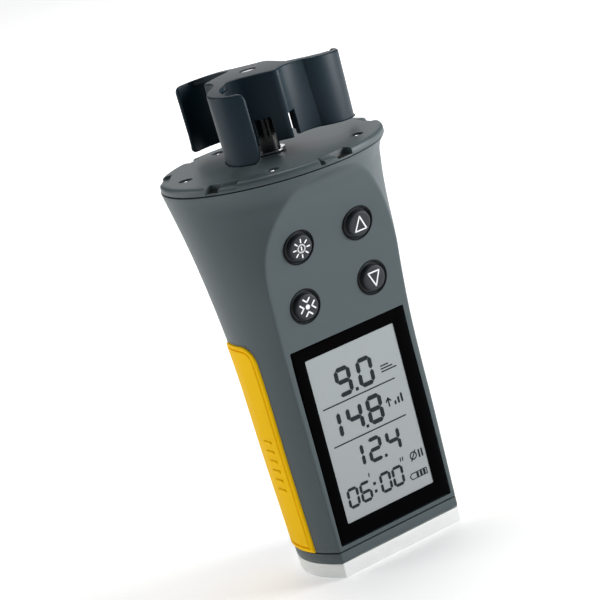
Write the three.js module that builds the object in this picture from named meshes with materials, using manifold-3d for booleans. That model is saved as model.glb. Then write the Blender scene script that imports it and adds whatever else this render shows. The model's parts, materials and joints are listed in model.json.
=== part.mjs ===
// Hand-held cup anemometer: a moulded housing with a flat front panel, a display, four keys,
// two soft side grips, a screwed-down head plate and a three-cup rotor on a vertical shaft.
// Frame: millimetres, +Z up, origin under the rotor axis on the standing surface, front panel towards -Y.

import * as THREE from 'three';
import { mergeVertices } from 'three/addons/utils/BufferGeometryUtils.js';
import Module from 'manifold-3d';

const wasm = await Module();
wasm.setup();

// ---------------------------------------------------------------- driving dimensions
const GAP = 0.3;                    // air kept between neighbouring solids
const ROUND = 48;                   // facets round the big turned shapes
const SMALL_ROUND = 16;             // facets round screws, pins and small bushes

const BASE_TOP = 3.9;               // metal foot
const COLLAR_TOP = 6.6;             // battery cap above the foot
const HOUSING_BOTTOM = COLLAR_TOP + GAP;
const HOUSING_TOP = 101.9;
const CAP_BOTTOM = HOUSING_TOP + GAP;
const CAP_TOP = 104.2;
const CAP_RADIUS = 28.5;
const HEAD_OPENING = 18.6;          // radius of the opening under the head plate
const WALL = 2.2;                   // housing wall
const FORWARD_AT_FOOT = 1.3;        // how far the body's round section leans forward at the foot
const LEAN_HEIGHT = 100;            // height at which that lean has gone

// Radius of the round body against height: a slim waist that flares into the head.
const BODY_RADIUS = [[0, 21.1], [30, 22.0], [59, 22.8], [70, 23.7], [80, 24.8], [88, 25.9], [95, 27.1], [102, 28.4]];
// Depth of the front panel ahead of the rotor axis against height: flat, then arching out under the rim.
const PANEL_DEPTH = [[-10, 11.8], [60, 13.2], [70, 14.2], [80, 15.4], [88, 17.5], [95, 21.2], [98, 23.1],
  [100, 25.6], [100.4, 28.0]];
const PANEL_SLOPE = 0.02;           // lean of the flat lower panel, mm forward per mm of height
const PANEL_AT_FOOT = 12.0;

const WINDOW_WIDTH = 34.0;
const WINDOW_BOTTOM = 8.3;
const WINDOW_TOP = 58.8;
const WINDOW_THICKNESS = 1.5;
const WINDOW_LEDGE = 1.6;           // housing shoulder behind the window's rim

const KEY_RADIUS = 3.25;
const KEY_HOLE_RADIUS = 4.0;
const KEY_PROUD = 1.2;
const KEYS = [
  { name: 'key_power', x: -8.83, z: 83.6, tilt: 13.0 },
  { name: 'key_up', x: 8.83, z: 83.6, tilt: 13.0 },
  { name: 'key_hold', x: -10.17, z: 68.9, tilt: 5.0 },
  { name: 'key_down', x: 10.17, z: 68.9, tilt: 5.0 },
];

const GRIP_FRONT = -5.2;            // grip edges in the side view
const GRIP_BACK = 11.0;
const GRIP_TOP = 62.2;
const GRIP_CORNER = 4.2;
const GRIP_PROUD = 0.5;
const GRIP_SUNK = 0.9;

const SCREW_COUNT = 5;
const SCREW_CIRCLE = 22.4;
const SCREW_PHASE = -121.5;         // angle of the first head screw, degrees
const SCREW_HEAD_RADIUS = 1.7;
const SCREW_SHANK_RADIUS = 0.9;

// Thumb notches in the head rim: middle angle and width in degrees.
const NOTCHES = [[-149.0, 19], [-88, 20], [-11.5, 17], [47, 17], [107.5, 9], [145, 18]];
const NOTCH_RADIUS = 25.4;

const CUP_TIP = 23.4;               // rotor tip radius
const CUP_ROOT = 7.2;               // radius where a cup's inner side starts
const CUP_STRAIGHT = 1.3;           // straight run before a cup's half round
const CUP_WALL = 1.2;
const ROTOR_CROWN = 125.2;          // height of the crown of the rotor's domed top
const ROTOR_HEIGHT = 17.1;
const DOME_DROP = 1.6;              // how far the dome falls from the crown to the tips
const ARM_ANGLE = -6;               // first arm, degrees from +X
const ARM_COUNT = 3;
const HUB_CORNER = new THREE.Vector2(7.55, 7.15);
const HUB_CORNER_WIDTH = 0.85;
const PLATE_THICKNESS = 1.6;
const WEB_DEPTH = 4.6;              // the plate closes a cup's back beyond this depth
const CUTOUT_TOP = ROTOR_CROWN - 11;
const SHAFT_RADIUS = 1.0;
const TUBE_RADIUS = 2.85;           // bearing tube that stands up into the hub
const TUBE_BORE = 2.2;

const CELL_RADIUS = 7.1;
const CELL_SPACING = 7.4;
const CELL_DEPTH = 7.0;
const CELL_BOTTOM = 11.2;
const CELL_TOP = 60.6;

// ---------------------------------------------------------------- materials
const finish = (color, roughness, metalness) => ({ color, roughness, metalness });
const SATIN_GREY = finish(0x687078, 0.45, 0.1);
const ROTOR_BLACK = finish(0x20272d, 0.5, 0.0);
const GRIP_YELLOW = finish(0xe8b923, 0.6, 0.0);
const PALE_METAL = finish(0xd5d8da, 0.35, 0.6);
const BLACK_PLASTIC = finish(0x16181a, 0.5, 0.0);
const WINDOW_BLACK = finish(0x0b0c0e, 0.1, 0.0);
const LCD_GREY = finish(0x9ea4a4, 0.25, 0.0);
const RUBBER = finish(0x1b1c1e, 0.8, 0.0);
const STEEL = finish(0xb5b9bc, 0.3, 0.9);
const BRASS = finish(0xb8923f, 0.35, 0.9);
const BOARD_GREEN = finish(0x1f5a38, 0.55, 0.0);
const MAGNET_GREY = finish(0x4a4c50, 0.4, 0.7);
const CELL_LABEL = finish(0x3a4a86, 0.4, 0.3);

// ---------------------------------------------------------------- geometry helpers
const radians = (degrees) => THREE.MathUtils.degToRad(degrees);

// Linear interpolation in a table of [position, value] pairs.
function along(table, position) {
  const last = table.length - 1;
  if (position <= table[0][0]) return table[0][1];
  if (position >= table[last][0]) return table[last][1];
  const upper = table.findIndex(([p]) => p > position);
  const [p0, v0] = table[upper - 1];
  const [p1, v1] = table[upper];
  return v0 + (v1 - v0) * (position - p0) / (p1 - p0);
}

// A closed three.js geometry as a boolean solid, wound outwards.
function solid(geometry) {
  const bare = geometry.clone();
  bare.deleteAttribute('normal');
  bare.deleteAttribute('uv');
  const merged = mergeVertices(bare, 1e-4);
  const points = merged.getAttribute('position').array;
  const index = merged.getIndex().array;
  const corners = [];
  let volume = 0;
  for (let i = 0; i < index.length; i += 3) {
    const [a, b, c] = [index[i], index[i + 1], index[i + 2]];
    if (a === b || b === c || c === a) continue;
    corners.push(a, b, c);
    const [pa, pb, pc] = [a, b, c].map((k) => new THREE.Vector3().fromArray(points, 3 * k));
    volume += pa.dot(pb.cross(pc));
  }
  if (volume < 0) corners.reverse();
  return new wasm.Manifold(new wasm.Mesh({
    numProp: 3, vertProperties: new Float32Array(points), triVerts: new Uint32Array(corners),
  }));
}

// A boolean solid back as a three.js geometry.
function geometryOf(body) {
  const mesh = body.getMesh();
  const geometry = new THREE.BufferGeometry();
  geometry.setAttribute('position', new THREE.BufferAttribute(new Float32Array(mesh.vertProperties), 3));
  geometry.setIndex(new THREE.BufferAttribute(new Uint32Array(mesh.triVerts), 1));
  geometry.computeVertexNormals();
  return geometry;
}

// A turned solid about Z from [radius, height] pairs that start and end on the axis or close on themselves.
function turned(profile, segments = SMALL_ROUND) {
  const points = profile.map(([r, z]) => new THREE.Vector2(r, z));
  return solid(new THREE.LatheGeometry(points, segments).rotateX(Math.PI / 2));
}

function rod(radius, bottom, top, segments = SMALL_ROUND) {
  return turned([[0, bottom], [radius, bottom], [radius, top], [0, top]], segments);
}

function ring(inner, outer, bottom, top, segments = SMALL_ROUND) {
  return turned([[inner, bottom], [outer, bottom], [outer, top], [inner, top], [inner, bottom]], segments);
}

function box(x0, x1, y0, y1, z0, z1) {
  const geometry = new THREE.BoxGeometry(x1 - x0, y1 - y0, z1 - z0);
  return solid(geometry.translate((x0 + x1) / 2, (y0 + y1) / 2, (z0 + z1) / 2));
}

// A plan outline (Vector2 list or Shape) raised between two heights.
function raised(outline, bottom, top, curveSegments = 12) {
  const shape = outline instanceof THREE.Shape ? outline : new THREE.Shape(outline);
  const geometry = new THREE.ExtrudeGeometry(shape, { depth: top - bottom, bevelEnabled: false, curveSegments });
  return solid(geometry.translate(0, 0, bottom));
}

// A side-view outline of [y, z] pairs (or a Shape in y, z) drawn out across the body between two x.
function drawnAcross(outline, x0, x1, curveSegments = 10) {
  const shape = outline instanceof THREE.Shape
    ? outline : new THREE.Shape(outline.map(([y, z]) => new THREE.Vector2(y, z)));
  const geometry = new THREE.ExtrudeGeometry(shape, { depth: x1 - x0, bevelEnabled: false, curveSegments });
  const sideways = new THREE.Matrix4().makeBasis(
    new THREE.Vector3(0, 1, 0), new THREE.Vector3(0, 0, 1), new THREE.Vector3(1, 0, 0));
  return solid(geometry.applyMatrix4(sideways).translate(x0, 0, 0));
}

const move = (body, x, y, z) => body.translate([x, y, z]);
const spin = (body, degrees) => body.rotate([0, 0, degrees]);

// ---------------------------------------------------------------- housing shapes
const panelDepth = (z) => along(PANEL_DEPTH, z);

// The round body between two heights, grown or shrunk by an offset, leaning forward at the foot.
function roundBody(bottom, top, offset, segments = ROUND) {
  const heights = BODY_RADIUS.map(([z]) => z).filter((z) => z > bottom && z < top);
  const profile = [bottom, ...heights, top].map((z) => [along(BODY_RADIUS, z) + offset, z]);
  const body = new THREE.LatheGeometry(
    [[0, bottom], ...profile, [0, top]].map(([r, z]) => new THREE.Vector2(r, z)), segments).rotateX(Math.PI / 2);
  const lean = new THREE.Matrix4();
  lean.elements[9] = FORWARD_AT_FOOT / LEAN_HEIGHT;
  lean.elements[13] = -FORWARD_AT_FOOT;
  return solid(body.applyMatrix4(lean));
}

// Everything ahead of the front panel, shifted backwards by an offset.
function aheadOfPanel(offset) {
  const face = PANEL_DEPTH.map(([z, depth]) => [-(depth - offset), z]);
  return drawnAcross([...face, [-60, 100.4], [-60, -10]], -40, 40);
}

// Box lying on the lower panel plane: depth is measured inwards from the panel's face.
function behindPanel(halfWidth, bottom, top, near, far) {
  const front = (z) => -(PANEL_AT_FOOT + PANEL_SLOPE * z);
  return drawnAcross([[front(bottom) + near, bottom], [front(bottom) + far, bottom],
    [front(top) + far, top], [front(top) + near, top]], -halfWidth, halfWidth);
}

// Side-view outline of a grip: square at the foot, rounded at the two top corners.
function gripOutline(grow, bottom) {
  const [front, back, top] = [GRIP_FRONT - grow, GRIP_BACK + grow, GRIP_TOP + grow];
  const corner = GRIP_CORNER + grow;
  const shape = new THREE.Shape();
  shape.moveTo(front, bottom);
  shape.lineTo(back, bottom);
  shape.lineTo(back, top - corner);
  shape.absarc(back - corner, top - corner, corner, 0, Math.PI / 2, false);
  shape.absarc(front + corner, top - corner, corner, Math.PI / 2, Math.PI, false);
  return shape;
}

function gripBody(side, inner, outer, grow, bottom) {
  const shell = roundBody(bottom - 1, GRIP_TOP + 5, outer).subtract(roundBody(bottom - 2, GRIP_TOP + 6, inner));
  const reach = side < 0 ? [-30, -10] : [10, 30];
  return shell.intersect(drawnAcross(gripOutline(grow, bottom), reach[0], reach[1]));
}

// Puts a body made about Z at a key's seat, its +Z along the panel's outward normal.
function atKey(body, key) {
  return move(body.rotate([90 + key.tilt, 0, 0]), key.x, -panelDepth(key.z), key.z);
}

function notchCutters(bottom) {
  return NOTCHES.map(([middle, width]) => {
    const half = radians(width / 2);
    const shape = new THREE.Shape();
    shape.absarc(0, 0, NOTCH_RADIUS, half, -half, true);
    shape.absarc(0, 0, 40, -half, half, false);
    return spin(raised(shape, bottom, CAP_TOP + 5, 6), middle);
  });
}

function atScrews(body) {
  return Array.from({ length: SCREW_COUNT }, (_, i) => {
    const angle = radians(SCREW_PHASE + i * 360 / SCREW_COUNT);
    return move(body, SCREW_CIRCLE * Math.cos(angle), SCREW_CIRCLE * Math.sin(angle), 0);
  });
}

const without = (body, cutters) => cutters.reduce((rest, cutter) => rest.subtract(cutter), body);

// ---------------------------------------------------------------- housing group
const SCREW_BOSS = { x: 0, y: 15.0, radius: 2.4, top: 17 };

function mainHousing() {
  const outside = roundBody(HOUSING_BOTTOM, HOUSING_TOP, 0).subtract(aheadOfPanel(0));
  const well = rod(HEAD_OPENING, 88, 110, ROUND);
  const cavity = roundBody(-5, 93, -WALL).subtract(aheadOfPanel(WALL));
  let body = outside.subtract(cavity).subtract(well.subtract(aheadOfPanel(WALL)));
  body = body.subtract(behindPanel(WINDOW_WIDTH / 2 + GAP, WINDOW_BOTTOM - GAP, WINDOW_TOP + GAP,
    -2, WINDOW_THICKNESS + GAP));
  body = body.subtract(behindPanel(WINDOW_WIDTH / 2 - WINDOW_LEDGE, WINDOW_BOTTOM + WINDOW_LEDGE,
    WINDOW_TOP - WINDOW_LEDGE, -2, 6));
  body = without(body, KEYS.map((key) => atKey(rod(KEY_HOLE_RADIUS, -6, 6, 24), key)));
  body = without(body, [-1, 1].map((side) => gripBody(side, -GRIP_SUNK - GAP, 3, GAP, HOUSING_BOTTOM - 2)));
  const boss = move(rod(SCREW_BOSS.radius, HOUSING_BOTTOM + 1.6, SCREW_BOSS.top),
    SCREW_BOSS.x, SCREW_BOSS.y, 0);
  const web = box(-1, 1, SCREW_BOSS.y + 1, 19.6, HOUSING_BOTTOM + 1.6, SCREW_BOSS.top);
  body = body.add(boss).add(web);
  body = body.subtract(move(rod(SCREW_SHANK_RADIUS + GAP, 0, SCREW_BOSS.top - 1), SCREW_BOSS.x, SCREW_BOSS.y, 0));
  const pilot = rod(SCREW_SHANK_RADIUS + GAP, 94, 110, 12);
  return without(body, atScrews(pilot));
}

function headCap() {
  const plate = turned([[0, CAP_BOTTOM], [CAP_RADIUS - 0.4, CAP_BOTTOM], [CAP_RADIUS, CAP_BOTTOM + 0.4],
    [CAP_RADIUS - 0.1, CAP_TOP - 1.0], [CAP_RADIUS - 0.9, CAP_TOP - 0.2], [CAP_RADIUS - 1.6, CAP_TOP],
    [0, CAP_TOP]], 60);
  const seat = rod(SCREW_HEAD_RADIUS + GAP, CAP_TOP - 1.2, CAP_TOP + 2);
  const clearance = rod(SCREW_SHANK_RADIUS + GAP, 90, 110, 12);
  const body = without(plate, [...notchCutters(90), ...atScrews(seat), ...atScrews(clearance)]);
  return body.subtract(rod(TUBE_RADIUS + GAP, 90, 110, 32));
}

function headScrew() {
  return rod(SCREW_HEAD_RADIUS, CAP_TOP - 0.9, CAP_TOP - 0.1)
    .add(rod(SCREW_SHANK_RADIUS, 95, CAP_TOP - 0.5, 12))
    .subtract(rod(0.8, CAP_TOP - 0.6, CAP_TOP + 1, 6));
}

function headSeal() {
  return ring(HEAD_OPENING - 1.9, HEAD_OPENING - 0.5, HOUSING_TOP - 1.6, HOUSING_TOP - 0.1, ROUND)
    .intersect(box(-30, 30, -30, 30, HOUSING_TOP - 2, HOUSING_TOP));
}

// ---------------------------------------------------------------- rotor group
// Outline of one cup and its leg, seen from above, with the arm along +X and the hollow towards +Y.
function cupOutline() {
  const outer = (CUP_TIP - CUP_ROOT) / 2;
  const inner = outer - CUP_WALL;
  const middle = CUP_ROOT + outer;
  const shape = new THREE.Shape();
  shape.moveTo(CUP_TIP, 0);
  shape.lineTo(CUP_TIP - CUP_WALL, 0);
  shape.lineTo(CUP_TIP - CUP_WALL, -CUP_STRAIGHT);
  shape.absarc(middle, -CUP_STRAIGHT, inner, 0, -Math.PI, true);
  shape.lineTo(HUB_CORNER.x + CUP_WALL * 0.7, HUB_CORNER.y);
  shape.lineTo(HUB_CORNER.x, HUB_CORNER.y);
  shape.lineTo(CUP_ROOT, -CUP_STRAIGHT);
  shape.absarc(middle, -CUP_STRAIGHT, outer, -Math.PI, 0, false);
  return shape;
}

const turn2 = (point, degrees) => point.clone().rotateAround(new THREE.Vector2(), radians(degrees));

// Where the wall from the arm before meets this cup's rounded back.
function backJoint() {
  const outer = (CUP_TIP - CUP_ROOT) / 2;
  const angle = radians(-116);
  return new THREE.Vector2(CUP_ROOT + outer + outer * Math.cos(angle), -CUP_STRAIGHT + outer * Math.sin(angle));
}

// Hollow curve from a leg's corner to the back of the next cup, pushed inwards by an offset.
function cornerCurve(inwards) {
  const start = HUB_CORNER.clone().add(new THREE.Vector2(HUB_CORNER_WIDTH - inwards, 0));
  const end = turn2(backJoint().add(new THREE.Vector2(inwards, inwards)), 360 / ARM_COUNT);
  const bend = new THREE.Vector2(3.3 - inwards, 9.0);
  return new THREE.QuadraticBezierCurve(start, bend, end).getPoints(6);
}

function cornerWall() {
  return [...cornerCurve(0), ...cornerCurve(CUP_WALL).reverse()];
}

function hubPlate() {
  const corners = [];
  for (let arm = 0; arm < ARM_COUNT; arm++) {
    const angle = arm * 360 / ARM_COUNT;
    const edge = [new THREE.Vector2(CUP_ROOT + 0.6, 0), ...cornerCurve(0.2)];
    corners.push(...edge.map((point) => turn2(point, angle)));
  }
  return corners;
}

// The part of the top plate that closes the back of a cup: a segment of its half round.
function cupWeb() {
  const radius = (CUP_TIP - CUP_ROOT) / 2 - 0.4;
  const middle = CUP_TIP - radius - 0.4;
  const half = Math.acos((WEB_DEPTH - CUP_STRAIGHT) / radius);
  const shape = new THREE.Shape();
  shape.absarc(middle, -CUP_STRAIGHT, radius, -Math.PI / 2 - half, -Math.PI / 2 + half, false);
  return shape;
}

// Space between two parallel domes: the outer limits of the rotor.
function domeBand(top, thickness) {
  const drop = (r) => DOME_DROP * (r / CUP_TIP) ** 2;
  const steps = [0, 6, 12, 18, 26];
  const upper = steps.map((r) => [r, top - drop(r)]);
  const lower = steps.map((r) => [r, top - thickness - drop(r)]);
  return turned([...lower, ...upper.reverse()], 36);
}

// One arm: cup, leg and corner wall, with the leg's window and the slit beside its corner, both open downwards.
function rotorArm(low, high) {
  const walls = raised(cupOutline(), low, high, 14).add(raised(cornerWall(), low, high));
  const legWindow = box(CUP_ROOT - 1.5, CUP_ROOT + 2.6, 0.2, 4.4, low, CUTOUT_TOP);
  const slit = box(5.1, 6.4, 4.6, 9.6, low, CUTOUT_TOP);
  return walls.subtract(legWindow).subtract(slit);
}

function cupRotor() {
  const low = 100;
  const high = 130;
  const arms = [];
  const plates = [raised(hubPlate(), low, high)];
  for (let arm = 0; arm < ARM_COUNT; arm++) {
    arms.push(spin(rotorArm(low, high), arm * 360 / ARM_COUNT));
    plates.push(spin(raised(cupWeb(), low, high), arm * 360 / ARM_COUNT));
  }
  const join = (bodies) => bodies.reduce((all, one) => all.add(one));
  const shell = join(arms).intersect(domeBand(ROTOR_CROWN, ROTOR_HEIGHT));
  const plate = join(plates).intersect(domeBand(ROTOR_CROWN, PLATE_THICKNESS));
  const boss = rod(3.0, 119.4, ROTOR_CROWN - 0.8, 24);
  const body = shell.add(plate).add(boss)
    .subtract(rod(SHAFT_RADIUS + GAP, 90, 124.6))
    .subtract(rod(2.1, 124.3, 130));
  return spin(body, ARM_ANGLE);
}

function rotorShaft() {
  return turned([[0, 92.6], [SHAFT_RADIUS, 92.6], [SHAFT_RADIUS, 124.3], [SHAFT_RADIUS - 0.4, 124.7], [0, 124.7]]);
}

function bearingTube() {
  return turned([[TUBE_BORE, 98.4], [TUBE_RADIUS, 98.4], [TUBE_RADIUS, CAP_BOTTOM - 1.6],
    [TUBE_RADIUS + 2.2, CAP_BOTTOM - 1.6], [TUBE_RADIUS + 2.2, CAP_BOTTOM - GAP],
    [TUBE_RADIUS, CAP_BOTTOM - GAP], [TUBE_RADIUS, 118.4], [TUBE_BORE, 118.4], [TUBE_BORE, 98.4]], 28);
}

const bearing = (bottom) => ring(SHAFT_RADIUS + GAP, TUBE_BORE - GAP, bottom, bottom + 2.5, 20);
const retainingWasher = () => ring(TUBE_RADIUS + GAP, TUBE_RADIUS + 1.2, CAP_TOP + GAP, CAP_TOP + 0.9, 28);
const rotorMagnet = () => ring(SHAFT_RADIUS + GAP, 3.6, 93.0, 96.6, 20);
const shaftClip = () => ring(SHAFT_RADIUS + GAP, 2.4, 97.0, 97.6, 16);

// ---------------------------------------------------------------- inside group
const BOARD_Y = [-4.6, -3.0];

function displayWindow() {
  return behindPanel(WINDOW_WIDTH / 2, WINDOW_BOTTOM, WINDOW_TOP, 0, WINDOW_THICKNESS);
}

function lcdGlass() {
  return box(-14.4, 14.4, -9.5, -7.3, 10.7, 56.4);
}

function lcdFrame() {
  return box(-16.0, 16.0, -9.0, -6.9, 9.4, 57.7).subtract(box(-14.7, 14.7, -12, -5, 10.4, 56.7));
}

const lcdConnector = () => box(-13.6, 13.6, -7.0, BOARD_Y[0] - GAP, 51.6, 54.0);

function mainBoard() {
  return box(-15.8, 15.8, BOARD_Y[0], BOARD_Y[1], 9.4, 92.0)
    .subtract(box(-16.5, -13.6, -6, -1, 90, 93)).subtract(box(13.6, 16.5, -6, -1, 90, 93));
}

const hallSensor = () => box(-1.6, 1.6, BOARD_Y[1] + GAP, BOARD_Y[1] + 1.8, 88.8, 91.8);

function keypadMat() {
  const clear = WALL + 2.8;
  const front = (z) => -(panelDepth(z) - clear);
  const heights = [62.8, 70, 75, 80, 84, 88, 91];
  return drawnAcross([...heights.map((z) => [front(z), z]), [BOARD_Y[0] - GAP, 91], [BOARD_Y[0] - GAP, 62.8]],
    -14.6, 14.6);
}

function key() {
  return rod(KEY_RADIUS, -2.6, KEY_PROUD - 0.3, 24)
    .add(turned([[0, 0], [KEY_RADIUS, 0], [KEY_RADIUS, KEY_PROUD - 0.3], [KEY_RADIUS - 0.5, KEY_PROUD],
      [0, KEY_PROUD]], 24))
    .add(rod(KEY_HOLE_RADIUS + 0.8, -WALL - 1.1, -WALL - 0.4, 24));
}

const cell = (side) => move(
  rod(CELL_RADIUS, CELL_BOTTOM, CELL_TOP - 1, 28).add(rod(2.7, CELL_BOTTOM, CELL_TOP)),
  side * CELL_SPACING, CELL_DEPTH, 0);

function cellTray() {
  const shape = new THREE.Shape([[-2.3, 10.4], [-1.1, 10.4], [-1.1, 62.4], [13.6, 62.4], [13.6, 63.8], [-2.3, 63.8]]
    .map(([y, z]) => new THREE.Vector2(y, z)));
  return drawnAcross(shape, -13.2, 13.2);
}

const cellBridge = () => box(-12.0, 12.0, 2.0, 12.0, 61.2, 61.7);

// Conical coil spring: a wire swept up a helix that widens towards its foot.
function cellSpring(side) {
  const turns = 2.5;
  const wire = 0.35;
  const low = 8.9;
  const high = CELL_BOTTOM - 0.75;
  class Helix extends THREE.Curve {
    getPoint(t, target = new THREE.Vector3()) {
      const angle = 2 * Math.PI * turns * t;
      const radius = 4.6 - 2.2 * t;
      return target.set(radius * Math.cos(angle), radius * Math.sin(angle), low + (high - low) * t);
    }
  }
  const section = new THREE.Shape();
  section.absarc(0, 0, wire, 0, 2 * Math.PI, false);
  const wireBody = new THREE.ExtrudeGeometry(section,
    { extrudePath: new Helix(), steps: 36, bevelEnabled: false, curveSegments: 6 });
  return move(solid(wireBody), side * CELL_SPACING, CELL_DEPTH, 0);
}

// ---------------------------------------------------------------- foot group
const INSERT_RADIUS = 5.0;

// The D-shaped section of the body between two heights.
const dSection = (bottom, top, offset) => roundBody(bottom, top, offset).subtract(aheadOfPanel(-offset));

function batteryCap() {
  const collar = dSection(BASE_TOP + GAP, COLLAR_TOP, 0);
  const plug = dSection(BASE_TOP + 1, 8.2, -WALL - GAP);
  return collar.add(plug)
    .subtract(rod(INSERT_RADIUS + GAP, 0, 7.0, 24))
    .subtract(move(rod(SCREW_SHANK_RADIUS + GAP, 0, 20, 12), SCREW_BOSS.x, SCREW_BOSS.y, 0));
}

function basePlate() {
  return dSection(0, BASE_TOP, 0)
    .subtract(rod(INSERT_RADIUS + GAP, -1, 10, 24))
    .subtract(move(rod(SCREW_HEAD_RADIUS + GAP, -1, 2.6), SCREW_BOSS.x, SCREW_BOSS.y, 0))
    .subtract(move(rod(SCREW_SHANK_RADIUS + GAP, -1, 20, 12), SCREW_BOSS.x, SCREW_BOSS.y, 0));
}

function capSeal() {
  return dSection(HOUSING_BOTTOM + 1.7, HOUSING_BOTTOM + 2.4, -WALL - GAP)
    .subtract(dSection(HOUSING_BOTTOM, HOUSING_BOTTOM + 5, -WALL - GAP - 1.2))
    .subtract(move(rod(SCREW_BOSS.radius + GAP, 0, 30), SCREW_BOSS.x, SCREW_BOSS.y, 0))
    .subtract(box(-1.3, 1.3, SCREW_BOSS.y, 25, 0, 30));
}

function tripodInsert() {
  return turned([[2.6, 0.2], [INSERT_RADIUS, 0.2], [INSERT_RADIUS, 6.7], [0, 6.7], [0, 5.8], [2.6, 5.8],
    [2.6, 0.2]], 24);
}

function baseScrew() {
  return move(rod(SCREW_HEAD_RADIUS, 0.9, 2.3).add(rod(SCREW_SHANK_RADIUS, 1.2, 15, 12)).subtract(rod(0.8, 0, 1.6, 6)),
    SCREW_BOSS.x, SCREW_BOSS.y, 0);
}

// ---------------------------------------------------------------- assembly
const anemometer = new THREE.Group();

function place(name, body, look) {
  const material = new THREE.MeshStandardMaterial(look);
  const mesh = new THREE.Mesh(geometryOf(body), material);
  mesh.name = name;
  anemometer.add(mesh);
}

place('main_housing', mainHousing(), SATIN_GREY);
place('head_cap', headCap(), SATIN_GREY);
place('head_seal', headSeal(), RUBBER);
atScrews(headScrew()).forEach((screw, i) => place(`head_screw_${i + 1}`, screw, STEEL));

place('cup_rotor', cupRotor(), ROTOR_BLACK);
place('rotor_shaft', rotorShaft(), STEEL);
place('rotor_magnet', rotorMagnet(), MAGNET_GREY);
place('shaft_clip', shaftClip(), STEEL);
place('bearing_tube', bearingTube(), BLACK_PLASTIC);
place('tube_washer', retainingWasher(), STEEL);
place('upper_bearing', bearing(115.5), STEEL);
place('lower_bearing', bearing(99.0), STEEL);

place('display_window', displayWindow(), WINDOW_BLACK);
place('lcd_glass', lcdGlass(), LCD_GREY);
place('lcd_frame', lcdFrame(), BLACK_PLASTIC);
place('lcd_connector', lcdConnector(), RUBBER);
place('main_board', mainBoard(), BOARD_GREEN);
place('hall_sensor', hallSensor(), BLACK_PLASTIC);
place('keypad_mat', keypadMat(), RUBBER);
for (const seat of KEYS) place(seat.name, atKey(key(), seat), BLACK_PLASTIC);

for (const [side, word] of [[-1, 'left'], [1, 'right']]) {
  place(`grip_${word}`, gripBody(side, -GRIP_SUNK, GRIP_PROUD, 0, HOUSING_BOTTOM), GRIP_YELLOW);
  place(`cell_${word}`, cell(side), CELL_LABEL);
  place(`cell_spring_${word}`, cellSpring(side), STEEL);
}
place('cell_tray', cellTray(), BLACK_PLASTIC);
place('cell_bridge', cellBridge(), STEEL);

place('battery_cap', batteryCap(), SATIN_GREY);
place('cap_seal', capSeal(), RUBBER);
place('base_plate', basePlate(), PALE_METAL);
place('base_screw', baseScrew(), STEEL);
place('tripod_insert', tripodInsert(), BRASS);

export default anemometer;
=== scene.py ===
# %% [markdown]
# # A hand-held cup anemometer
# A wind meter is a slim moulded body with a display and four keys, a round head, and a rotor of three scoops.
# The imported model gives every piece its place, so the first cell loads it and keeps the size of its box.

# %% Load the frame
import json
import math

import bmesh
import bpy
import numpy as np
from mathutils import Matrix, Vector


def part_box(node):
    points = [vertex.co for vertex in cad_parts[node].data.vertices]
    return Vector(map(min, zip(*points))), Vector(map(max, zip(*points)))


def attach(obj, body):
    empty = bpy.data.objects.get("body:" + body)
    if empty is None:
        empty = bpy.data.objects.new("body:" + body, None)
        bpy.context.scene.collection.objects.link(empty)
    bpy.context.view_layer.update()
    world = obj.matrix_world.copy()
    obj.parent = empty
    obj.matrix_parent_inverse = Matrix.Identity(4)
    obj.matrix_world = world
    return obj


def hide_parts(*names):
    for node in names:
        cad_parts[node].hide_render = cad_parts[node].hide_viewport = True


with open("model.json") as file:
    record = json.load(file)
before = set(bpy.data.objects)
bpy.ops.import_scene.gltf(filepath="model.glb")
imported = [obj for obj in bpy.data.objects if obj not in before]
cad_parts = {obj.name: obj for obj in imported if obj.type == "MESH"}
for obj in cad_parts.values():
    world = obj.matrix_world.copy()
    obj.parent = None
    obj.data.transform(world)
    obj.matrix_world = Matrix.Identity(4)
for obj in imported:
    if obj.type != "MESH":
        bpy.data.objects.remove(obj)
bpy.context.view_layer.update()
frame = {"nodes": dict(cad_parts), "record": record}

# %% [markdown]
# Sizes are in millimetres, as a maker writes them, and turn into metres when a mesh is made.
# The main levels come from the frame's own boxes, so the visual pieces can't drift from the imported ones.

# %% Levels and driving sizes
MM = 0.001


def level(node, top):
    """Height of the lowest (top=0) or highest (top=1) point of a node, in millimetres."""
    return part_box(node)[top].z / MM


FOOT_TOP = level("base_plate", 1)
HOUSING_BOTTOM, HOUSING_TOP = level("main_housing", 0), level("main_housing", 1)
LID_BOTTOM, LID_TOP = level("head_cap", 0), level("head_cap", 1)
CROWN = level("cup_rotor", 1)
ROTOR_HEIGHT = 17.1
LID_RADIUS = -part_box("head_cap")[0].y / MM
WALL = 2.2
print(f"housing {HOUSING_BOTTOM:.1f} to {HOUSING_TOP:.1f}, lid to {LID_TOP:.1f}, crown at {CROWN:.1f} mm")

# %% [markdown]
# Every piece below is a grid of points: rows and columns, each a smooth function of two parameters.
# A side of the grid may wrap round, and a row may close to a point. One helper turns grids into a mesh,
# merges the closed ends, points the faces outwards and marks the edges that are really sharp.

# %% Meshes from grids
def quads(rows, columns, wrap_rows, wrap_columns):
    """Four-cornered faces between neighbours of a grid; a wrapped side joins its last line to its first."""
    i, j = np.meshgrid(np.arange(rows if wrap_rows else rows - 1),
                       np.arange(columns if wrap_columns else columns - 1), indexing="ij")
    i_next, j_next = (i + 1) % rows, (j + 1) % columns
    corners = (i * columns + j, i * columns + j_next, i_next * columns + j_next, i_next * columns + j)
    return np.stack(corners, -1).reshape(-1, 4)


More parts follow.
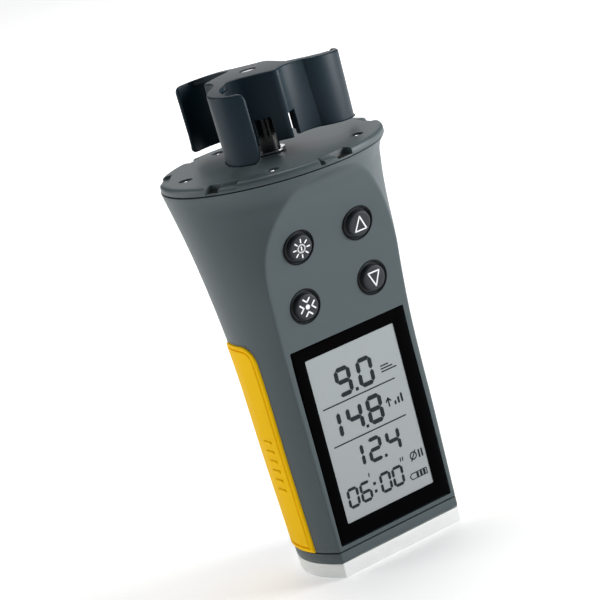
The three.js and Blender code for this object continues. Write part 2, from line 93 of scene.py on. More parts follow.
def mesh_from(name, grids, sharp=35):
    """A mesh from (points, wrap_rows, wrap_columns) grids; points are rows x columns x 3 in millimetres."""
    points, faces, start = [], [], 0
    for grid, wrap_rows, wrap_columns in grids:
        rows, columns = grid.shape[:2]
        faces.append(quads(rows, columns, wrap_rows, wrap_columns) + start)
        points.append(grid.reshape(-1, 3))
        start += rows * columns
    mesh = bpy.data.meshes.new(name)
    mesh.from_pydata((np.concatenate(points) * MM).tolist(), [], np.concatenate(faces).tolist())
    shape = bmesh.new()
    shape.from_mesh(mesh)
    bmesh.ops.remove_doubles(shape, verts=shape.verts, dist=1e-7)
    bmesh.ops.recalc_face_normals(shape, faces=shape.faces)
    shape.to_mesh(mesh)
    shape.free()
    mesh.shade_smooth()
    mesh.set_sharp_from_angle(angle=math.radians(sharp))
    return mesh


def piece(name, grids, body, finish, slot, *nodes, sharp=35, cutters=()):
    """A finished piece: its mesh, cuts, finish, the body it rides on and the nodes that it stands for."""
    shown = bpy.data.objects.new(name, mesh_from(name, grids, sharp))
    bpy.context.scene.collection.objects.link(shown)
    if cutters:
        cut_out(shown, cutters, sharp)
    shown.data.materials.clear()
    shown.data.materials.append(finish)
    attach(shown, body)
    if nodes:
        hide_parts(*nodes)
    print(f"{name}: {len(shown.data.polygons)} faces")
    return shown


def cut_out(shown, cutters, sharp):
    """Takes each cutter, a list of grids, out of a shape, and keeps the result as the shape's own mesh."""
    tools = []
    for number, grids in enumerate(cutters):
        tool = bpy.data.objects.new(f"cutter_{number}", mesh_from("cutter", grids))
        bpy.context.scene.collection.objects.link(tool)
        cut = shown.modifiers.new(f"cut_{number}", "BOOLEAN")
        cut.operation, cut.solver, cut.object = "DIFFERENCE", "EXACT", tool
        tools.append(tool)
    done = bpy.data.meshes.new_from_object(shown.evaluated_get(bpy.context.evaluated_depsgraph_get()))
    shown.modifiers.clear()
    shown.data = done
    done.shade_smooth()
    done.set_sharp_from_angle(angle=math.radians(sharp))
    for tool in tools:
        bpy.data.objects.remove(tool)


def lathe(profile, columns=96):
    """A turned surface: (radius, height) pairs carried round the vertical axis."""
    radius, height = np.array(profile, float).T
    turn = np.linspace(0, 2 * np.pi, columns, endpoint=False)
    x, y = radius[:, None] * np.cos(turn), radius[:, None] * np.sin(turn)
    return np.stack([x, y, np.broadcast_to(height[:, None], x.shape)], -1)


print("helpers ready")

# %% [markdown]
# Finishes are node materials. To keep their arithmetic readable, a small class wraps a node's output and
# overloads the operators, so that `1 - mask` adds the Math node that it says. A second class holds one
# material with its principled shader; any other node is made by one method from its type, settings and links.

# %% Shader arithmetic
class Value:
    """One output of a shader node; arithmetic with other values or plain numbers adds Math nodes."""

    def __init__(self, finish, socket):
        self.finish, self.socket = finish, socket

    def math(self, operation, *terms):
        return self.finish.node("ShaderNodeMath", {"operation": operation}, dict(enumerate(terms)))

    def __add__(self, other):
        return self.math("ADD", self, other)

    def __sub__(self, other):
        return self.math("SUBTRACT", self, other)

    def __mul__(self, other):
        return self.math("MULTIPLY", self, other)

    def __rsub__(self, other):
        return self.math("SUBTRACT", other, self)

    __radd__ = __add__
    __rmul__ = __mul__

    def step(self, low, high):
        """Nought below low, one above high and a smooth change between."""
        return self.finish.node("ShaderNodeMapRange", {"interpolation_type": "SMOOTHSTEP"},
                                {"Value": self, "From Min": low, "From Max": high})


class Finish:
    """A material round one principled shader; constants are set on the shader's own sockets."""

    def __init__(self, name, **constants):
        self.material = bpy.data.materials.new(name)
        self.material.use_nodes = True
        self.tree = self.material.node_tree
        self.shader = next(n for n in self.tree.nodes if n.type == "BSDF_PRINCIPLED")
        for socket, number in constants.items():
            self.shader.inputs[socket.replace("_", " ")].default_value = number
        self.place = self.node("ShaderNodeTexCoord", output="Object")

    def node(self, kind, settings=None, links=None, output=0):
        made = self.tree.nodes.new(kind)
        for name, setting in (settings or {}).items():
            setattr(made, name, setting)
        for socket, term in (links or {}).items():
            if isinstance(term, Value):
                self.tree.links.new(term.socket, made.inputs[socket])
            else:
                made.inputs[socket].default_value = term
        return Value(self, made.outputs[output])

    def feed(self, socket, value):
        self.tree.links.new(value.socket, self.shader.inputs[socket])

    def noise(self, scale, detail=2.0, stretch=(1, 1, 1)):
        """Soft noise from nought to one; stretch packs it closer along an axis."""
        place = self.node("ShaderNodeMapping", {}, {"Vector": self.place, "Scale": stretch})
        return self.node("ShaderNodeTexNoise", {}, {"Vector": place, "Scale": scale, "Detail": detail})

    def mix(self, factor, first, second):
        """A colour between two, by a factor from nought to one."""
        colours = [c if isinstance(c, Value) else (*c, 1.0) for c in (first, second)]
        return self.node("ShaderNodeMix", {"data_type": "RGBA"},
                         {0: factor, 6: colours[0], 7: colours[1]}, output=2)

    def bump(self, height, strength, distance):
        made = self.node("ShaderNodeBump", {}, {"Height": height, "Strength": strength, "Distance": distance})
        self.feed("Normal", made)


print("shader arithmetic ready")

# %% [markdown]
# Most pieces are moulded. A mould leaves a fine spark-eroded grain that breaks up the highlight, and the
# colour drifts very slightly from place to place. One recipe covers them, with the grain's size and depth,
# the drift and the gloss as its numbers. Metals get drawn-out noise instead, like brushed or turned lines.

# %% Moulded and metal finishes
def shade(colour, factor):
    """A colour made darker or lighter by a factor, with no channel above one."""
    return tuple(min(1.0, channel * factor) for channel in colour)


def moulded(name, colour, roughness, grain=2600, depth=0.02, drift=0.06, **constants):
    """Moulded plastic or rubber: slow colour drift, fine grain in the gloss and in the bump."""
    finish = Finish(name, **constants)
    cloud, fine = finish.noise(60), finish.noise(grain, 3.0)
    finish.feed("Base Color", finish.mix(cloud, shade(colour, 1 - drift), shade(colour, 1 + drift)))
    finish.feed("Roughness", roughness + (fine - 0.5) * 0.10)
    finish.bump(fine, 0.35, depth * MM)
    return finish.material


def brushed(name, colour, roughness, stretch, metallic=1.0, depth=0.01, **constants):
    """Metal with fine lines: noise packed closely across the lines and stretched along them."""
    finish = Finish(name, Metallic=metallic, **constants)
    lines = finish.noise(700, 3.0, stretch)
    finish.feed("Base Color", finish.mix(lines, shade(colour, 0.90), shade(colour, 1.08)))
    finish.feed("Roughness", roughness + (lines - 0.5) * 0.16)
    finish.bump(lines, 0.3, depth * MM)
    return finish.material


satin_grey = moulded("satin grey moulding", (0.057, 0.079, 0.087), 0.46, depth=0.012, drift=0.03,
                     Specular_IOR_Level=0.42)
rotor_black = moulded("rotor black moulding", (0.006, 0.020, 0.031), 0.42, depth=0.010, drift=0.05,
                      Specular_IOR_Level=0.22)
grip_yellow = moulded("grip yellow rubber", (0.95, 0.56, 0.003), 0.60, grain=1900, depth=0.02, drift=0.04,
                      Specular_IOR_Level=0.05)
key_black = moulded("key black rubber", (0.024, 0.029, 0.033), 0.50, depth=0.010, Specular_IOR_Level=0.25)
black_plastic = moulded("black moulding", (0.006, 0.008, 0.010), 0.26, depth=0.006, Specular_IOR_Level=0.3)
# near-black rubber; the plates in the lid's deep pockets and the rings round the keys use it as painted shade
seal_rubber = moulded("seal rubber and painted shade", (0.006, 0.006, 0.007), 0.80, grain=1500, Specular_IOR_Level=0.15)
window_black = moulded("window border black", (0.0012, 0.0012, 0.0015), 0.30, depth=0.002, drift=0.02,
                       Specular_IOR_Level=0.01)
printed_white = moulded("printed white", (0.86, 0.87, 0.88), 0.45, depth=0.004, drift=0.02)
lcd_ink = moulded("display segment ink", (0.016, 0.021, 0.026), 0.45, depth=0.002, drift=0.08,
                  Specular_IOR_Level=0.1)
foot_metal = brushed("satin foot metal", (0.80, 0.82, 0.81), 0.42, (1, 1, 24), metallic=0.2)
steel = brushed("turned steel", (0.62, 0.63, 0.64), 0.22, (1, 1, 30))
bright_steel = brushed("bright screw steel", (0.74, 0.75, 0.76), 0.22, (14, 1, 1), metallic=0.85)
satin_steel = brushed("satin shaft steel", (0.80, 0.81, 0.82), 0.34, (1, 1, 30), metallic=0.3)
brass = brushed("turned brass", (0.72, 0.50, 0.20), 0.28, (1, 1, 30))
nickel = brushed("nickelled spring steel", (0.60, 0.59, 0.56), 0.25, (1, 20, 1))
magnet_grey = brushed("nickelled magnet", (0.20, 0.20, 0.21), 0.35, (1, 1, 10))
print("plain finishes:", len(bpy.data.materials))

# %% [markdown]
# The display's grey is a reflector seen through liquid crystal: nearly even, a little lighter where the
# light enters at the top. The board shows tracks under its green lacquer, and a cell's sleeve has two bands.

# %% Display, board and cell finishes
def display_grey():
    """Grey that lightens slowly with height, with the faint mottling of a reflector foil."""
    finish = Finish("display reflector grey", Roughness=0.45, Specular_IOR_Level=0.1)
    height = finish.node("ShaderNodeSeparateXYZ", {}, {0: finish.place}, output="Z").step(0.012, 0.058)
    foil = finish.noise(3200, 2.0)
    grey = finish.mix(height, (0.345, 0.37, 0.38), (0.355, 0.385, 0.39))
    finish.feed("Base Color", finish.mix(foil * 0.25, grey, (0.32, 0.345, 0.355)))
    finish.bump(foil, 0.1, 0.002 * MM)
    return finish.material


def board_green():
    """Green lacquer with paler tracks where noise in coarse cells passes a threshold."""
    finish = Finish("lacquered board", Roughness=0.42)
    tracks = finish.node("ShaderNodeTexBrick", {"offset": 0.5},
                         {"Vector": finish.place, "Scale": 260.0, "Mortar Size": 0.035}, output="Fac")
    finish.feed("Base Color", finish.mix(tracks, (0.010, 0.085, 0.035), (0.045, 0.19, 0.07)))
    finish.bump(tracks, 0.2, 0.02 * MM)
    return finish.material


def cell_sleeve():
    """Plain printed sleeve: a dark band over most of the height and a light one near the top."""
    finish = Finish("cell sleeve", Roughness=0.28, Metallic=0.3)
    height = finish.node("ShaderNodeSeparateXYZ", {}, {0: finish.place}, output="Z")
    band = height.step(0.0448, 0.0452)
    scuff = finish.noise(300, 3.0)
    blue = finish.mix(scuff, (0.030, 0.052, 0.18), (0.045, 0.075, 0.24))
    finish.feed("Base Color", finish.mix(band, blue, (0.62, 0.60, 0.55)))
    finish.bump(scuff, 0.1, 0.01 * MM)
    return finish.material


lcd_grey, board_finish, sleeve_finish = display_grey(), board_green(), cell_sleeve()
print("all finishes:", len(bpy.data.materials))

# %% [markdown]
# The nodes that stay as the frame has them are mostly inside the body. Each takes the finish of the slot
# that the record gives it, so nothing is left in a single flat colour.

# %% Finishes for the pieces that stay
SLOT_FINISH = {
    "satin_grey": satin_grey, "rotor_black": rotor_black, "grip_yellow": grip_yellow,
    "foot_metal": foot_metal, "black_plastic": black_plastic, "key_black": key_black,
    "window_black": window_black, "lcd_grey": lcd_grey, "seal_rubber": seal_rubber,
    "screw_steel": bright_steel, "shaft_steel": steel, "magnet_grey": magnet_grey,
    "board_green": board_finish, "cell_label": sleeve_finish, "contact_nickel": nickel,
    "insert_brass": brass,
}
for part in frame["record"]["subparts"]:
    mesh = frame["nodes"][part["node"]].data
    mesh.materials.clear()
    mesh.materials.append(SLOT_FINISH[part["material_slot"]])

# %% [markdown]
# The body's outline is a circle met by a flat panel. Both change with height: the circle grows from a slim
# waist into the head, and the panel stays nearly flat, then sweeps out and runs into the rim as an arch.
# So the distance from the axis is the smaller of the two, with a smooth minimum that rounds the crease.

# %% The body's outline
LEAN, LEAN_HEIGHT = 1.3, 100.0
BACK_RADIUS = [[0, 21.1], [30, 22.0], [59, 22.8], [70, 23.7], [80, 24.8], [88, 25.9], [95, 27.1], [102, 28.4]]
FRONT_RADIUS = [[0, 21.1], [30, 22.0], [59, 22.8], [70, 23.7], [75, 24.2], [88, 24.3], [92, 24.4], [95, 24.7],
                [98, 25.1], [100, 26.2], [102, 28.0]]
PANEL_DEPTH = [[-10, 11.8], [0, 12.0], [30, 12.6], [60, 13.2], [70, 14.2], [75, 14.8], [80, 15.4], [84, 16.2],
               [88, 17.5], [92, 19.4], [95, 21.2], [98, 23.2], [100, 25.7], [102, 30.0]]
CREASE = 0.45                       # rounding of the panel's edge


def through(table, at):
    """A smooth curve through [position, value] pairs: cubic pieces with slopes taken from the neighbours."""
    position, value = np.array(table, float).T
    slope = np.gradient(value, position)
    k = np.clip(np.searchsorted(position, at, side="right") - 1, 0, len(position) - 2)
    span = position[k + 1] - position[k]
    t = (at - position[k]) / span
    near = value[k] * (1 + 2 * t) * (1 - t) ** 2 + span * slope[k] * t * (1 - t) ** 2
    far = value[k + 1] * t * t * (3 - 2 * t) + span * slope[k + 1] * t * t * (t - 1)
    return near + far


def ease(t):
    """Nought to one with level ends."""
    t = np.clip(t, 0, 1)
    return t * t * (3 - 2 * t)


def lean(z):
    """How far forward the body's own axis stands at a height."""
    return -LEAN * (1 - z / LEAN_HEIGHT)


def body_distance(turn, z, crease=CREASE):
    """Distance from the body's axis at an angle from the front: the smooth minimum of circle and panel."""
    side = ease((np.abs(turn) - np.radians(40)) / np.radians(50))
    circle = through(FRONT_RADIUS, z) * (1 - side) + through(BACK_RADIUS, z) * side
    panel = (through(PANEL_DEPTH, z) + lean(z)) / np.maximum(np.cos(turn), 0.12)
    share = np.clip(0.5 + 0.5 * (circle - panel) / crease, 0, 1)
    return circle * (1 - share) + panel * share - crease * share * (1 - share)


def crease_turn(z):
    """Angle from the front at which the circle meets the panel."""
    ratio = (through(PANEL_DEPTH, z) + lean(z)) / through(FRONT_RADIUS, z)
    return np.clip(np.arccos(np.clip(ratio, 0, 1)), np.radians(4), np.radians(75))


def outline_turns(z):
    """Angles for a row of points round the body, packed closely about both creases."""
    crease, near = crease_turn(z), np.radians(2.4)
    parts = [np.linspace(0, crease - near, 14, endpoint=False),
             np.linspace(crease - near, crease + near, 12, endpoint=False),
             np.linspace(crease + near, np.pi, 60)]
    half = np.concatenate(parts)
    return np.concatenate([half, -half[-2:0:-1]], 0)


def body_row(z, inset=0.0, crease=CREASE):
    """One closed row of points round the body at a height, drawn in by an inset."""
    turn = outline_turns(z)
    away = body_distance(turn, z, crease) - inset
    return np.stack([away * np.sin(turn), lean(z) - away * np.cos(turn), np.full_like(turn, z)], -1)


def hole_row(z, radius, centre_y=0.0):
    """A row of the same angles on a circle, or just inside the wall where the wall is nearer."""
    turn = outline_turns(z)
    away = np.minimum(radius, body_distance(turn, z) - WALL)
    return np.stack([away * np.sin(turn), centre_y - away * np.cos(turn), np.full_like(turn, z)], -1)


print("outline points a row:", len(outline_turns(50.0)))

# %% [markdown]
# The housing is one moulded shell: up the outside, over a flat deck with the round opening for the rotor's
# parts, and down the inside, a wall's thickness in. Rows of the outline make it, and the last row joins the
# first. The window's seat and the four key holes are then cut out of it with Boolean modifiers: a hole that
# crosses a curved wall at a slant would be hard to give to the grid, and easy to cut.

# %% The housing's cuts
PANEL_AT_FOOT, PANEL_SLOPE = 12.0, 0.02
WINDOW_HALF, WINDOW_LOW, WINDOW_HIGH = 17.0, 8.3, 58.8
GAP = 0.3
KEY_HOLE = 4.0
KEY_SEATS = {"key_power": (-8.83, 83.6, 13.0), "key_up": (8.83, 83.6, 13.0),
             "key_hold": (-10.17, 68.9, 5.0), "key_down": (10.17, 68.9, 5.0)}
SEAT_DEPTH = [[60, 13.2], [70, 14.2], [80, 15.4], [88, 17.5]]


def on_panel(points):
    """Points given as (across, height, depth behind the panel) placed on the lower panel."""
    x, z, depth = np.moveaxis(np.asarray(points, float), -1, 0)
    return np.stack([x, -(PANEL_AT_FOOT + PANEL_SLOPE * z) + depth, z], -1)


def rectangle(left, right, low, high, corner=0.4, side=6):
    """A closed outline of a rectangle with rounded corners, running anticlockwise from its lower right."""
    centres = [(right - corner, low + corner), (right - corner, high - corner),
               (left + corner, high - corner), (left + corner, low + corner)]
    arcs = []
    for number, (x, z) in enumerate(centres):
        turn = np.radians(np.linspace(-90, 0, side) + 90 * number)
        arcs.append(np.stack([x + corner * np.cos(turn), z + corner * np.sin(turn)], -1))
    return np.concatenate(arcs)


def slab(outline, depths, insets=None):
    """A closed plate on the panel: the outline at several depths, then a point at each end."""
    insets = insets or [0.0] * len(depths)
    middle = (outline.max(0) + outline.min(0)) / 2
    half = (outline.max(0) - outline.min(0)) / 2
    rows = [np.column_stack([middle + (outline - middle) * (1 - inset / half), np.full(len(outline), depth)])
            for depth, inset in zip(depths, insets)]
    ends = [np.column_stack([np.tile(middle, (len(outline), 1)), np.full(len(outline), depth)])
            for depth in (depths[0], depths[-1])]
    return on_panel(np.stack([ends[0], *rows, ends[1]])), False, True


def at_key(points, name):
    """Points made about the vertical axis, turned to stand on a key's seat and square to the panel there."""
    x, z, tilt = KEY_SEATS[name]
    t = math.radians(tilt)
    axes = np.array([[1, 0, 0], [0, -math.sin(t), math.cos(t)], [0, -math.cos(t), -math.sin(t)]])
    seat = np.array([x, -np.interp(z, *np.array(SEAT_DEPTH).T), z])
    return points @ axes + seat


window_seat = [slab(rectangle(-WINDOW_HALF - GAP, WINDOW_HALF + GAP, WINDOW_LOW - GAP, WINDOW_HIGH + GAP),
                    (-3.0, 1.5 + GAP))]
window_well = [slab(rectangle(-15.4, 15.4, 9.9, 57.2), (-3.0, 6.0))]
key_holes = [[(at_key(lathe([(0, -7), (KEY_HOLE, -7), (KEY_HOLE, 7), (0, 7)], 64), name), False, True)]
             for name in KEY_SEATS]
print("cuts in the housing:", 2 + len(key_holes))

# %% The housing
DECK, OPENING = 93.0, 18.6


def housing_rows():
    """Rows up the outside, with small rounded ends, across the deck, and down the inside."""
    heights = np.concatenate([np.arange(8.5, 60, 3.2), np.arange(60, 84, 1.6), np.arange(84, 101.3, 0.6)])
    outside = [body_row(HOUSING_BOTTOM, 0.25), body_row(HOUSING_BOTTOM + 0.07, 0.07),
               body_row(HOUSING_BOTTOM + 0.25)]
    outside += [body_row(z) for z in heights]
    outside += [body_row(HOUSING_TOP - 0.2), body_row(HOUSING_TOP - 0.05, 0.05), body_row(HOUSING_TOP, 0.18)]
    well = [hole_row(z, OPENING) for z in (HOUSING_TOP, 98.0, 95.5, DECK)]
    inside = [body_row(z, WALL) for z in (DECK - 0.05, 90, 86, 82, 76, 70, 60, 40, 20, HOUSING_BOTTOM)]
    return np.stack(outside + well + inside)


piece("housing_shell", [(housing_rows(), True, True)], "body", satin_grey, "satin_grey",
      "main_housing", cutters=[window_seat, window_well, *key_holes])

# %% [markdown]
# The foot is a plate of satin metal with the body's own outline, and the battery cap above it continues the
# housing's grey. Both are the same kind of row, with the crease left sharper in the metal.

# %% Foot and battery cap
def band(low, high, crease, round_low, round_high, hole):
    """A closed plate of the body's outline between two heights, with rounded edges and a round hole."""
    steps = [(low, round_low), (low + round_low * 0.3, round_low * 0.3), (low + round_low, 0),
             (high - round_high, 0), (high - round_high * 0.3, round_high * 0.3), (high, round_high)]
    outside = [body_row(z, inset, crease) for z, inset in steps]
    return np.stack([hole_row(low, hole), *outside, hole_row(high, hole)]), True, True


INSERT_HOLE = 5.3
piece("foot_plate", [band(0.0, FOOT_TOP, 0.15, 0.3, 0.25, INSERT_HOLE)], "body", foot_metal, "foot_metal",
      "base_plate")
piece("battery_cap_band", [band(FOOT_TOP + GAP, HOUSING_BOTTOM - GAP, 0.3, 0.15, 0.15, INSERT_HOLE)],
      "body", satin_grey, "satin_grey", "battery_cap")

# %% [markdown]
# The lid is a turned disc with rounded edges. Thumb notches are pressed into its rim: each has a deep pocket
# and a shallow one, so the lid's height is a function of angle and radius. Screw seats are cut afterwards,
# and a thin near-black plate on the floor of each deep pocket is painted shade for the dark of the deep
# pockets.

# %% The lid of the head
SHALLOW, DEEP = 0.75, 1.55
# start and end angle in degrees, and depth in millimetres
POCKETS = [(-158.0, -150.5, DEEP), (-150.5, -140.0, SHALLOW), (-97.6, -95.2, DEEP), (-95.2, -88.0, SHALLOW),
           (-88.0, -78.5, DEEP), (-19.5, -11.0, DEEP), (-11.0, -3.5, SHALLOW), (39.0, 47.0, SHALLOW),
           (47.0, 55.0, DEEP), (103.5, 112.0, DEEP), (136.5, 145.0, SHALLOW), (145.0, 153.5, DEEP)]
POCKET_RADIUS = 25.6
LID_THICK = LID_TOP - LID_BOTTOM
LID_EDGE = [(0.14, 0.0), (0.04, 0.04), (0.0, 0.16), (0.0, 0.9), (0.05, 1.35), (0.22, 1.68), (0.55, 1.88),
            (1.1, 1.98)]
SCREW_COUNT, SCREW_CIRCLE, SCREW_PHASE, SCREW_HEAD = 5, 22.4, -121.5, 1.7
TUBE_COLLAR, TUBE_BORE = 2.2, 2.2
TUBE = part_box("bearing_tube")[1].x / MM - TUBE_COLLAR


def pocket_depth(turn):
    """Depth of the rim's pockets against angle, with sides that ease over half a degree."""
    degrees = np.degrees(turn)
    depth = np.zeros_like(turn)
    for start, end, deep in POCKETS:
        away = np.abs((degrees - (start + end) / 2 + 180) % 360 - 180)
        depth = np.maximum(depth, deep * (1 - ease((away - (end - start) / 2 + 0.2) / 0.4)))
    return depth


def lid():
    """Rows over the lid: out along the underside, round the rim, and back over the pockets and the top."""
    turn = np.radians(np.arange(-180, 180, 0.25))
    depth = pocket_depth(turn)
    hole = TUBE + GAP
    rows = [(hole, LID_BOTTOM + 0 * turn)]
    rows += [(LID_RADIUS - inset, LID_BOTTOM + rise * (1 - depth / LID_THICK)) for inset, rise in LID_EDGE]
    for radius in (POCKET_RADIUS + 0.9, POCKET_RADIUS + 0.3, POCKET_RADIUS + 0.15, POCKET_RADIUS,
                   POCKET_RADIUS - 0.15, POCKET_RADIUS - 0.3):
        share = ease((radius - POCKET_RADIUS + 0.2) / 0.4)
        rows.append((radius, LID_TOP - depth * share))
    rows += [(radius, LID_TOP + 0 * turn) for radius in (24.6, 14.0, hole + 0.3)]
    rows += [(hole, LID_TOP - 0.3 + 0 * turn)]
    return np.stack([np.stack([r * np.cos(turn), r * np.sin(turn), z], -1) for r, z in rows])


def screw_places():
    """Centres of the screws, evenly spaced on a circle."""
    turn = np.radians(SCREW_PHASE + 360 / SCREW_COUNT * np.arange(SCREW_COUNT))
    return SCREW_CIRCLE * np.stack([np.cos(turn), np.sin(turn), 0 * turn], -1)


seat_cut = lathe([(0, LID_TOP - 1.2), (SCREW_HEAD + 0.1, LID_TOP - 1.2), (SCREW_HEAD + 0.1, LID_TOP + 2),
                  (0, LID_TOP + 2)], 40)
piece("head_lid", [(lid(), True, True)], "body", satin_grey, "satin_grey", "head_cap",
      cutters=[[(seat_cut + place, False, True)] for place in screw_places()])


def pocket_shade_plate(start, end):
    """A thin near-black plate on the floor of a deep pocket, between two radii and two angles: painted shade.
    """
    turn = np.radians(np.linspace(start + 0.7, end - 0.7, 16))
    edge = [radius * np.stack([np.cos(way), np.sin(way)], -1)
            for radius, way in ((POCKET_RADIUS + 0.35, turn), (LID_RADIUS - 0.5, turn[::-1]))]
    outline = np.concatenate(edge)
    floor_z = LID_TOP - DEEP
    rows = [(0 * outline + outline.mean(0), floor_z - 0.1), (outline, floor_z - 0.1),
            (outline, floor_z + 0.12), (0 * outline + outline.mean(0), floor_z + 0.12)]
    return np.stack([np.column_stack([ring, np.full(len(ring), z)]) for ring, z in rows]), False, True


# near-black plates on the floors of the deep pockets: painted shade for the pockets' dark
piece("pocket_shade_plates", [pocket_shade_plate(start, end) for start, end, deep in POCKETS if deep == DEEP], "body",
      seal_rubber, "seal_rubber")

# %% [markdown]
# Each lid screw is a small turned head with a rounded rim and a hollow for the driver, which catches a
# glint. The tube between the head and the rotor, its bright ring and the shaft are turned pieces as well, and
# the shaft ends in a small disc that shows in the hub's hole. A list of radii and heights says all of it.

# %% Turned pieces
screw_profile = [(0, 95.0), (0.9, 95.0), (0.9, LID_TOP - 1.15), (SCREW_HEAD - 0.15, LID_TOP - 1.15),
                 (SCREW_HEAD, LID_TOP - 1.0), (SCREW_HEAD, LID_TOP - 0.75),
                 (SCREW_HEAD - 0.2, LID_TOP - 0.55), (SCREW_HEAD - 0.6, LID_TOP - 0.42),
                 (0.9, LID_TOP - 0.42), (0.8, LID_TOP - 0.5), (0.7, LID_TOP - 0.85), (0, LID_TOP - 0.95)]
for number, place in enumerate(screw_places(), 1):
    piece(f"lid_screw_{number}", [(lathe(screw_profile, 48) + place, False, True)], "body", bright_steel,
          "screw_steel", f"head_screw_{number}")
tube_profile = [(TUBE_BORE, 98.4), (TUBE, 98.4), (TUBE, 100.6), (TUBE + TUBE_COLLAR, 100.6),
                (TUBE + TUBE_COLLAR, 101.9), (TUBE, 101.9), (TUBE, 117.9), (TUBE - 0.1, 118.3),
                (TUBE - 0.3, 118.4), (TUBE_BORE, 118.4)]
piece("neck_tube", [(lathe(tube_profile), True, True)], "body", black_plastic, "black_plastic",
      "bearing_tube")
ring_profile = [(TUBE + 0.1, LID_TOP + GAP), (TUBE + 1.1, LID_TOP + GAP), (TUBE + 1.2, LID_TOP + 0.4),
                (TUBE + 1.2, LID_TOP + 0.75), (TUBE + 1.05, LID_TOP + 0.9), (TUBE + 0.1, LID_TOP + 0.9)]
piece("neck_ring", [(lathe(ring_profile), True, True)], "body", steel, "shaft_steel", "tube_washer")
shaft_profile = [(0, 92.6), (1, 92.6), (1, CROWN - 0.75), (1.6, CROWN - 0.72), (1.7, CROWN - 0.62),
                 (1.7, CROWN - 0.36), (1.6, CROWN - 0.26), (0, CROWN - 0.22)]
piece("steel_shaft", [(lathe(shaft_profile, 48), False, True)], "rotor", satin_steel, "shaft_steel",
      "rotor_shaft")

# %% [markdown]
# The rotor is moulded in one: three scoops, each a wall that runs from its free tip round a half circle,
# along a short leg to the hub and on to the back of the next scoop. A wall is a rounded strip carried along
# that path. Its height follows a shallow dome, its ends are rounded like a finger nail, and the window in
# the leg is a stretch where the strip's foot jumps up.

# %% The rotor's plan
CUP_TIP, CUP_ROOT, CUP_STRAIGHT, CUP_WALL = 23.4, 7.2, 1.3, 1.2
DOME_DROP, ARM_ANGLE, ARM_COUNT = 1.6, -6.0, 3
HUB_CORNER, WEB_DEPTH, PLATE = (7.97, 7.15), 4.6, 1.6
CUTOUT_TOP = CROWN - 11
LEG_WINDOW, CORNER_SLIT = (-0.8, 3.6), (4.9, 7.7)
BACK_TURN = math.radians(116)       # from a scoop's tip to where the hollow curve meets its back
CUP_HALF = (CUP_TIP - CUP_ROOT) / 2
CUP_MIDDLE = CUP_ROOT + CUP_HALF


def dome(x, y):
    """Height of the rotor's domed top above a point of its plan."""
    return CROWN - DOME_DROP * (x * x + y * y) / CUP_TIP ** 2


def turned_plan(points, degrees):
    """Plan points turned about the axis."""
    t = math.radians(degrees)
    return points @ np.array([[math.cos(t), math.sin(t)], [-math.sin(t), math.cos(t)]])


def even_path(points, spacing):
    """The same path with evenly spaced points."""
    steps = np.concatenate([[0], np.cumsum(np.linalg.norm(np.diff(points, axis=0), axis=1))])
    at = np.linspace(0, steps[-1], int(steps[-1] / spacing) + 1)
    return np.stack([np.interp(at, steps, points[:, k]) for k in (0, 1)], -1), at


def bow(start, bend, end, count=24):
    """A curve that leaves one point and reaches another, pulled towards a third."""
    t = np.linspace(0, 1, count)[:, None]
    return start * (1 - t) ** 2 + 2 * bend * t * (1 - t) + end * t * t


def wall_path():
    """Middle line of one wall: tip, half circle, leg, round corner and the hollow curve to the next back."""
    radius = CUP_HALF - CUP_WALL / 2
    turn = np.linspace(0, -np.pi, 60)
    arc = np.stack([CUP_MIDDLE + radius * np.cos(turn), -CUP_STRAIGHT + radius * np.sin(turn)], -1)
    corner = np.array(HUB_CORNER)
    back = np.array([CUP_MIDDLE + CUP_HALF * math.cos(BACK_TURN),
                     -CUP_STRAIGHT - CUP_HALF * math.sin(BACK_TURN)])
    end = turned_plan(back + 0.9, 360 / ARM_COUNT)
    tight = bow(corner + (0.0, -0.9), corner + (0.0, 0.1), corner + (-0.7, 0.25), 8)
    hollow = bow(tight[-1], np.array([2.9, 8.6]), end)
    return np.concatenate([[[arc[0, 0], 0.0]], arc, tight, hollow[1:]])


path, along_path = even_path(wall_path(), 0.22)
print(f"wall path: {along_path[-1]:.1f} mm long, {len(path)} points")

# %% The rotor's walls
TIP_ROUND = 1.9                     # corner radius at a scoop's free edge, seen from the side
TOP_ROUND, FOOT_ROUND, INNER_ROUND = 0.42, 0.30, 0.10


def nail(at, radius):
    """How much a rounded corner takes off the height, at a distance from the free end."""
    near = np.clip(at, 0, radius)
    return radius - np.sqrt(radius ** 2 - (radius - near) ** 2)


def wall_section(half, low, high, left_round, right_round):
    """Points round a strip's section as (offset, height): two rounded feet and two rounded top corners."""
    turn = np.radians(np.linspace(0, 90, 5))
    foot = min(FOOT_ROUND, half * 0.9)
    left, right = min(left_round, half * 0.9), min(right_round, half * 0.9)
    cosine, sine = np.cos(turn), np.sin(turn)
    parts = [(-half + foot - foot * sine[::-1] , low + foot - foot * cosine[::-1]),
             (-half + left - left * cosine, high - left + left * sine),
             (half - right + right * sine, high - right + right * cosine),
             (half - foot + foot * cosine, low + foot - foot * sine)]
    return np.concatenate([np.stack(part, -1) for part in parts])


# Stretches of the path, by distance: the web closes the scoop's back, and the hub plate starts at BACK_AT
ARC_RADIUS = CUP_HALF - CUP_WALL / 2
web_turn = math.acos((WEB_DEPTH - CUP_STRAIGHT) / ARC_RADIUS)
WEB_AT = [CUP_STRAIGHT + ARC_RADIUS * (math.pi / 2 + way * web_turn) for way in (-1, 1)]
BACK_AT = CUP_STRAIGHT + ARC_RADIUS * BACK_TURN


def in_range(at, low, high):
    """True where a number lies between two limits."""
    return (at >= low) & (at <= high)


